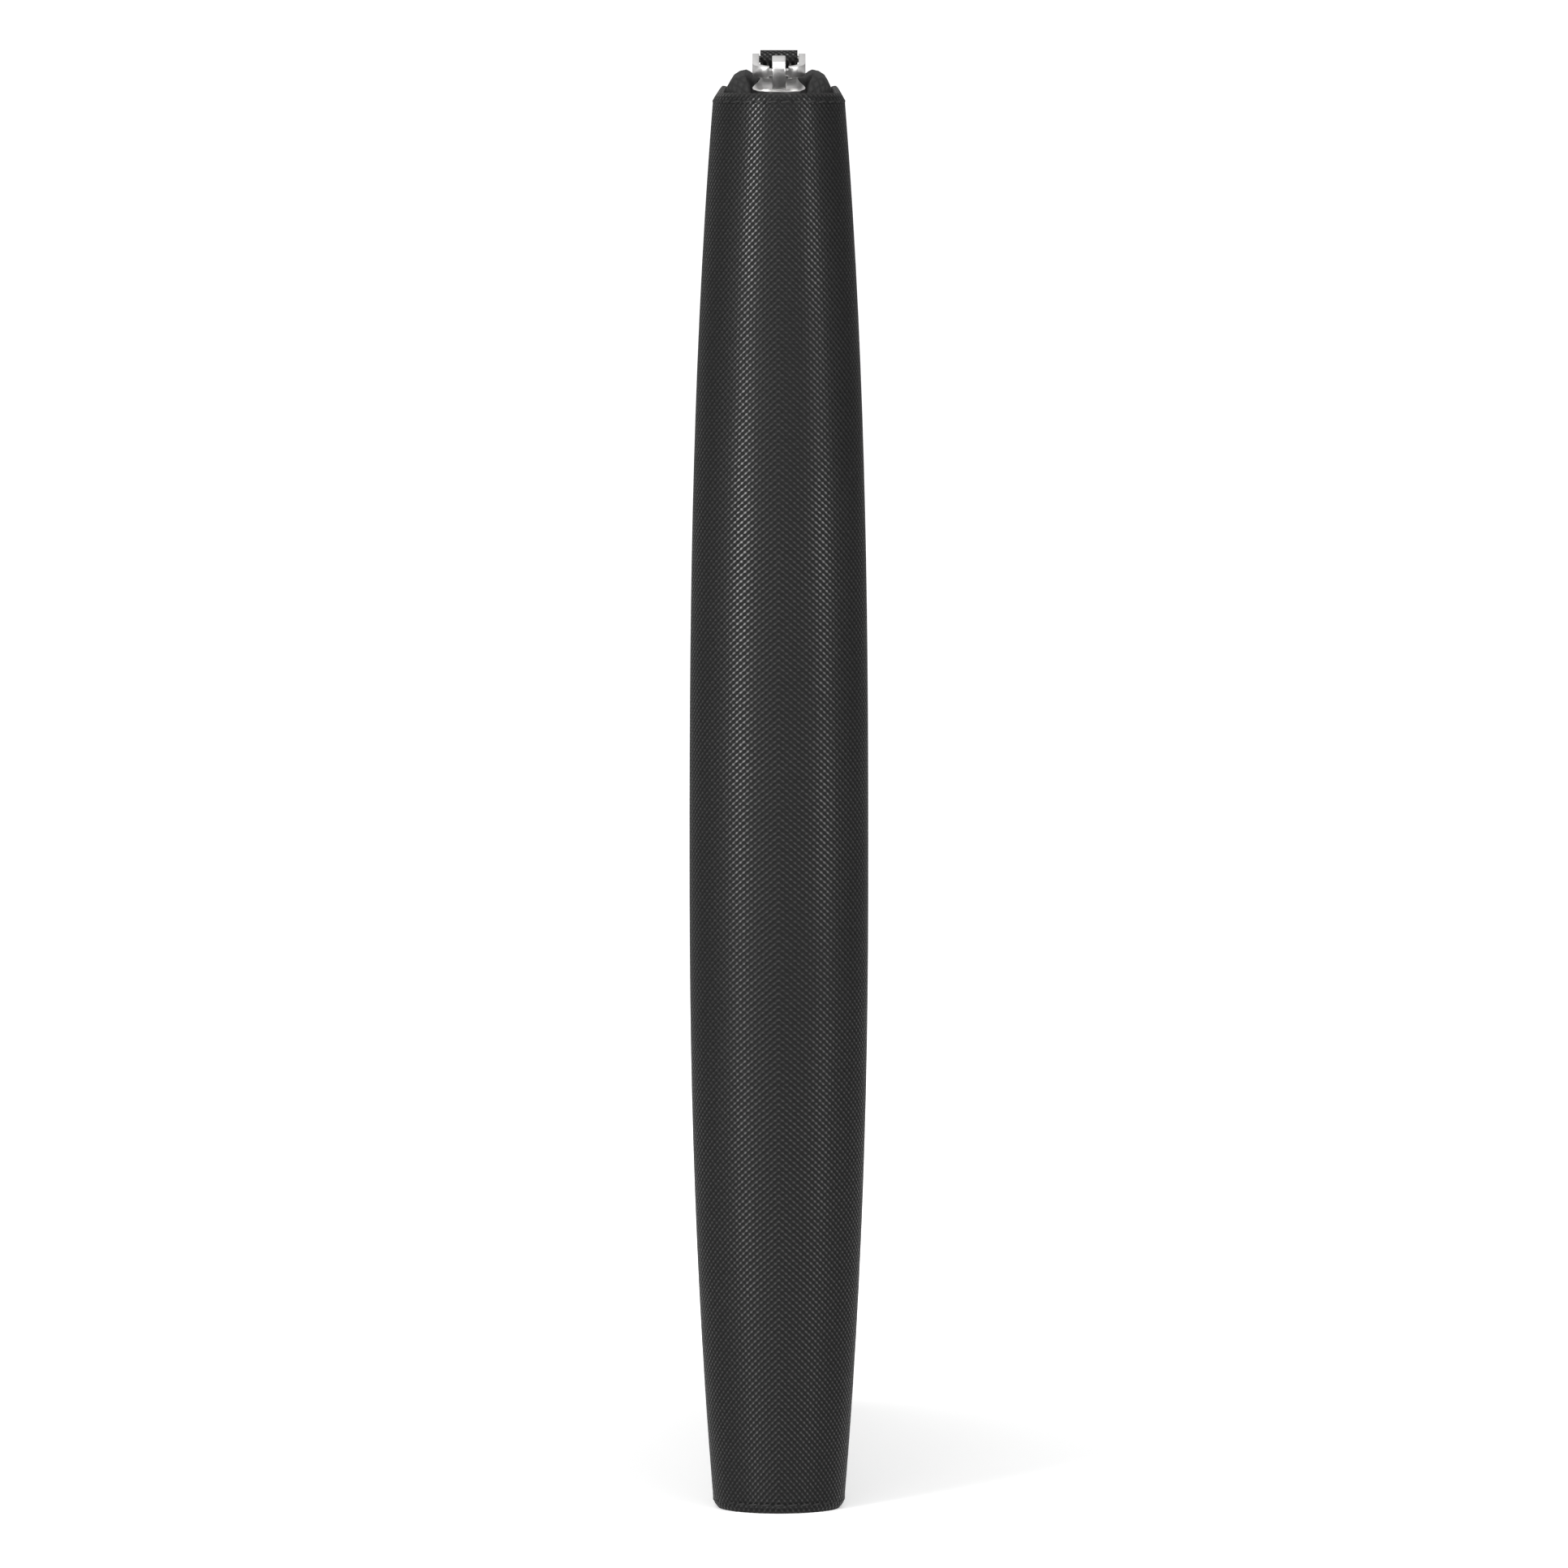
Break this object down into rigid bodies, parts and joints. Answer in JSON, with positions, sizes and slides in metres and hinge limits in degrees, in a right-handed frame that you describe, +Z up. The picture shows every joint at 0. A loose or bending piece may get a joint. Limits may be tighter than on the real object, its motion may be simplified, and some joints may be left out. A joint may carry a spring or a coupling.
{
  "type": "fountain pen case",
  "caption": "Slim zip-around leather case for fountain pens, with pen sleeves, a protective flap, a slip pocket and a metal slider with a leather pull tab.",
  "frame": {"origin": "centre of the foot, where the case stands on its lower edges", "axes": "+Z up along the spine, -Y faces the spine's viewer, +X from the back half to the front half"},
  "size_m": [0.0316, 0.188, 0.2575],
  "materials": {
    "saffiano_leather": "cross-hatch embossed, satin",
    "foam": "soft sponge",
    "board": "matt pressed board",
    "lining_cloth": "fine twill",
    "zip_tape": "woven herringbone tape",
    "smooth_leather": "smooth, satin",
    "tab_leather": "fine cross-hatch, satin",
    "zip_metal": "nickel plate",
    "polished_metal": "polished nickel plate"
  },
  "bodies": {
    "spine": {"spine_leather": "saffiano_leather", "spine_padding": "foam", "spine_lining": "lining_cloth", "spine_top_gusset": "lining_cloth", "spine_bottom_gusset": "lining_cloth"},
    "back_half": {"back_cover_leather": "saffiano_leather", "back_padding": "foam", "back_board": "board", "back_lining": "lining_cloth", "back_zip_tape": "zip_tape", "back_zip_teeth": "zip_metal", "back_top_stop": "zip_metal", "zip_bottom_stop": "zip_metal", "pen_sleeves": "smooth_leather", "flap_gusset": "smooth_leather"},
    "front_half": {"front_cover_leather": "saffiano_leather", "front_padding": "foam", "front_board": "board", "front_lining": "lining_cloth", "front_zip_tape": "zip_tape", "front_zip_teeth": "zip_metal", "front_top_stop": "zip_metal", "slip_pocket": "smooth_leather"},
    "flap": {"flap_face": "smooth_leather", "flap_core": "board", "flap_backing": "lining_cloth"},
    "zip_runner": {"lock_pin": "polished_metal"},
    "slider": {"slider_body": "polished_metal", "slider_bail": "polished_metal"},
    "ring": {"pull_ring": "polished_metal"},
    "tab": {"tab_leather": "tab_leather", "tab_core": "board"}
  },
  "joints": [
    {"name": "back_fold", "type": "hinge", "parent": "spine", "child": "back_half", "pos_m": [-0.012, -0.09145, 0.125], "axis": [0, 0, 1], "range_deg": [0, 90], "deforming": ["spine_leather", "spine_padding", "spine_lining", "spine_top_gusset", "spine_bottom_gusset"]},
    {"name": "front_fold", "type": "hinge", "parent": "spine", "child": "front_half", "pos_m": [0.012, -0.09145, 0.125], "axis": [0, 0, -1], "range_deg": [0, 90], "deforming": ["front_zip_tape", "front_zip_teeth"]},
    {"name": "flap_turn", "type": "hinge", "parent": "back_half", "child": "flap", "pos_m": [0.00475, -0.08115, 0.125], "axis": [0, 0, -1], "range_deg": [0, 81]},
    {"name": "zip_slide", "type": "slide", "parent": "back_half", "child": "zip_runner", "axis": [0, 0.9999, 0.0156], "range_m": [0, 0.12], "deforming": ["back_zip_tape", "back_zip_teeth"]},
    {"name": "slider_tilt", "type": "hinge", "parent": "zip_runner", "child": "slider", "pos_m": [0, -0.06918, 0.25192], "axis": [1, 0, 0], "range_deg": [-16.71, 0]},
    {"name": "pull_swing", "type": "hinge", "parent": "zip_runner", "child": "ring", "pos_m": [0, -0.07353, 0.25354], "axis": [1, 0, 0], "range_deg": [0, 120]},
    {"name": "tab_swing", "type": "hinge", "parent": "ring", "child": "tab", "pos_m": [0, -0.06496, 0.25579], "axis": [1, 0, 0], "range_deg": [0, 50]}
  ],
  "couplings": [
    {"joint": "flap_turn", "follows": "front_fold", "ratio": 0.9},
    {"joint": "slider_tilt", "follows": "zip_slide", "rad_per_m": -2.4275}
  ]
}
